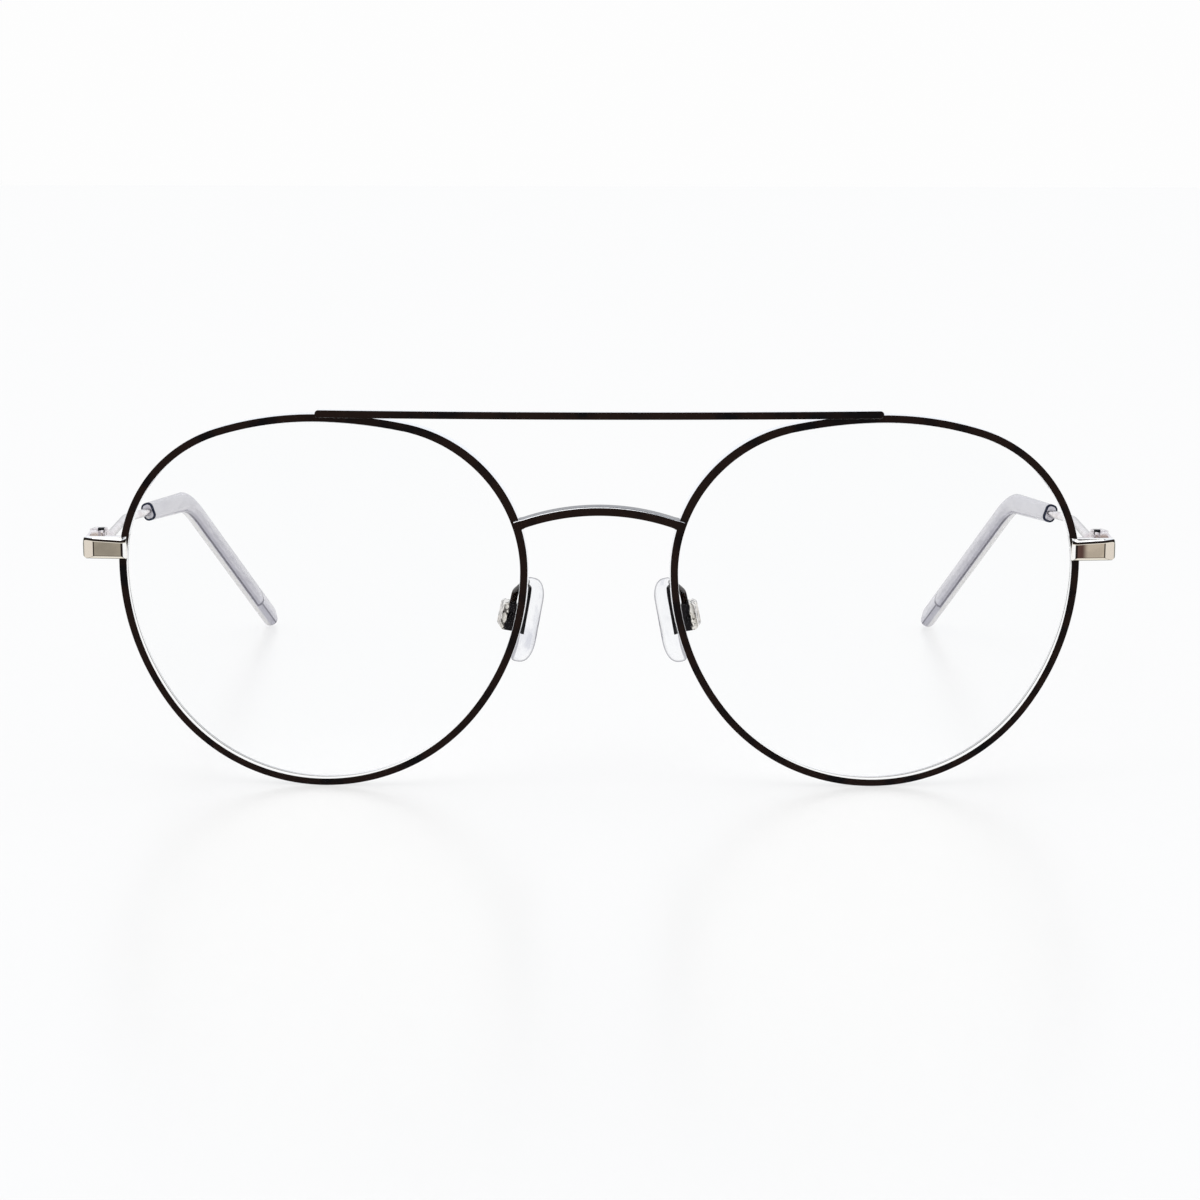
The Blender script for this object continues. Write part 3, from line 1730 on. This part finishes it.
    def tip_rings(self) -> list[Ring]:
        """Rings of the tip's skin, from its mouth to its rounded end.

        Returns:
            The rings.
        """
        rings = []
        half_way, flare = (1 + self.tip_flare) / 2, self.tip_flare
        steps = 5
        for k in range(steps + 1):
            a = pi / 2 * k / steps
            bar = self.tip_bar(1.0, self.lip * (1 - sin(a)) * 2)
            rings.append(ring_at(LAYOUT.tip @ shift(0, self.lip * (1 - cos(a)), 0), bar))
        for run in self.tip_runs:
            bar = self.tip_bar(1 + (half_way - 1) * run / self.mouth_l)
            rings.append(ring_at(LAYOUT.tip @ shift(0, run, 0), bar))
        steps = 24
        for k in range(steps + 1):
            bar = self.tip_bar(half_way + (flare - half_way) * k / steps)
            rings.append(ring_at(self.on_bend(self.ear_angle * k / steps, 0), bar))
        for run in (*self.drop_runs, self.tip_last_run, self.tip_drop):
            rings.append(ring_at(self.on_bend(self.ear_angle, run), self.tip_bar(flare)))
        high, edge = self.tip_height * flare, self.tip_round * flare
        steps, last = 12, radians(self.tip_end)
        for k in range(1, steps + 1):
            a = last * k / steps
            up, wide = high * cos(a), self.tip_width * flare - 2 * edge * (1 - cos(a))
            bar = rounded_bar(wide, up, min(edge, up / 2, wide / 2))
            rings.append(ring_at(self.on_bend(self.ear_angle, self.tip_drop + high / 2 * sin(a)), bar))
        return rings

    def build(self, finishes: Finishes) -> None:
        """Builds both temples.

        Args:
            finishes: The finishes.
        """
        wire, skin = self.head_rings() + self.wire_rings() + self.core_rings(), self.tip_rings()
        for side in Side:
            s, mirror = side.word, side.mirror
            body = f"temple_{s}"
            finishes.skin(
                f"temple_wire_{s}", f"temple_{s}", placed(wire, mirror), Slot.NICKEL, body, finishes.wire
            )
            finishes.skin(f"acetate_tip_{s}", f"temple_tip_{s}", placed(skin, mirror), Slot.TIP, body)
            leaf = polished(f"temple_hinge_{s}", f"temple_leaf_{s}", self.leaf_edge)
            finishes.dress(leaf, Slot.NICKEL, body)


# The studio


@dataclass
class Studio:
    """Pale floor, plain soft light, and the photograph's camera."""

    white: float = 0.985
    sky: float = 0.80
    sky_tones: tuple[tuple[float, Colour], ...] = (
        (0.0, (0.98, 0.985, 1.0)), (0.80, (0.90, 0.94, 1.0)),
        (0.90, (0.05, 0.05, 0.055)), (1.0, (0.03, 0.03, 0.035)),
    )
    sun: float = 0.727
    sun_tone: Colour = (1.0, 0.99, 0.97)
    sun_spread: float = 50.0
    sun_turn: Span = (28.0, -12.0)
    camera_x: float = 0.13
    camera_y: float = -486.974
    camera_z: float = 88.96
    camera_pitch: float = 81.411
    camera_roll: float = 0.11
    focal: float = 94.89
    sensor: float = 36.0
    floor_reach: float = 4.0
    floor_glow: float = 0.62
    floor_mirror: float = 0.20
    floor_roughness: float = 0.27

    def floor_material(self) -> Material:
        """Pale floor, lit evenly from below, that mirrors a little what stands on it.

        Returns:
            The material.
        """
        g = Graph("pale_floor")
        white = (self.white,) * 3
        paper = g.add("ShaderNodeBsdfDiffuse", {"Color": white})
        gloss = g.add("ShaderNodeBsdfGlossy", {"Color": white, "Roughness": self.floor_roughness})
        glow = g.add("ShaderNodeEmission", {"Color": white})
        lit = g.shaders(self.floor_mirror / (1 - self.floor_glow), paper, gloss)
        return g.by_ray(paper, glow, g.shaders(self.floor_glow, lit, glow))

    def build_floor(self) -> None:
        """Builds the floor."""
        mesh = bpy.data.meshes.new("studio_floor")
        r = self.floor_reach
        mesh.from_pydata([(-r, -r, 0), (r, -r, 0), (r, r, 0), (-r, r, 0)], [], [(0, 1, 2, 3)])
        mesh.materials.append(self.floor_material())
        new_object("studio_floor", mesh)

    def build_light(self) -> None:
        """Builds the even light all round, which is seen as white and mirrored with a dark top."""
        g = Graph("studio_light", light=True)
        plain = g.add("ShaderNodeBackground", {"Color": (1, 1, 1), "Strength": self.sky})
        seen = g.add("ShaderNodeBackground", {"Color": (self.white,) * 3})
        _, _, up = g.split(g.add("ShaderNodeTexCoord").outputs["Generated"])
        tones = g.add("ShaderNodeValToRGB", {0: up})
        stops = tones.color_ramp.elements
        for i, (at, colour) in enumerate(self.sky_tones):
            stop = stops[i] if i < 2 else stops.new(at)
            stop.position, stop.color = at, (*colour, 1)
        shine = g.add("ShaderNodeBackground", {"Color": tones.outputs[0]})
        bpy.context.scene.world = g.by_ray(plain, shine, seen)

    def build_lamp(self) -> None:
        """Builds the soft key light from above and behind the camera."""
        lamp = bpy.data.lights.new("soft_key", "SUN")
        lamp.energy, lamp.angle, lamp.color = self.sun, radians(self.sun_spread), self.sun_tone
        key = bpy.data.objects.new("soft_key", lamp)
        key.rotation_euler = (radians(self.sun_turn[0]), radians(self.sun_turn[1]), 0)
        bpy.context.scene.collection.objects.link(key)

    def build_camera(self) -> None:
        """Builds the photograph's camera."""
        data = bpy.data.cameras.new("photo_camera")
        data.lens, data.sensor_width = self.focal, self.sensor
        data.clip_start, data.clip_end = 0.01, 50.0
        camera = bpy.data.objects.new("photo_camera", data)
        place = shift(self.camera_x * MM, self.camera_y * MM, self.camera_z * MM)
        camera.matrix_world = place @ turn(self.camera_pitch, "X") @ turn(self.camera_roll, "Z")
        bpy.context.scene.collection.objects.link(camera)
        bpy.context.scene.camera = camera

    def build(self) -> None:
        """Builds the studio."""
        self.build_camera()
        self.build_floor()
        self.build_light()
        self.build_lamp()
        bpy.context.scene.view_settings.view_transform = "Standard"


def main() -> None:
    """Builds the glasses, sub-assembly by sub-assembly, and the studio round them."""
    logging.basicConfig(level=logging.INFO, format="%(message)s")
    finishes = Finishes()
    rims = Rims()
    rims.build(finishes)
    Lenses().build(finishes)
    BrowBar().build(finishes)
    Bridge().build(finishes, rims)
    EndPieces().build(finishes)
    PadArms().build(finishes, rims)
    NosePads().build(finishes)
    Temples().build(finishes)
    Studio().build()


if __name__ == "__main__":
    main()
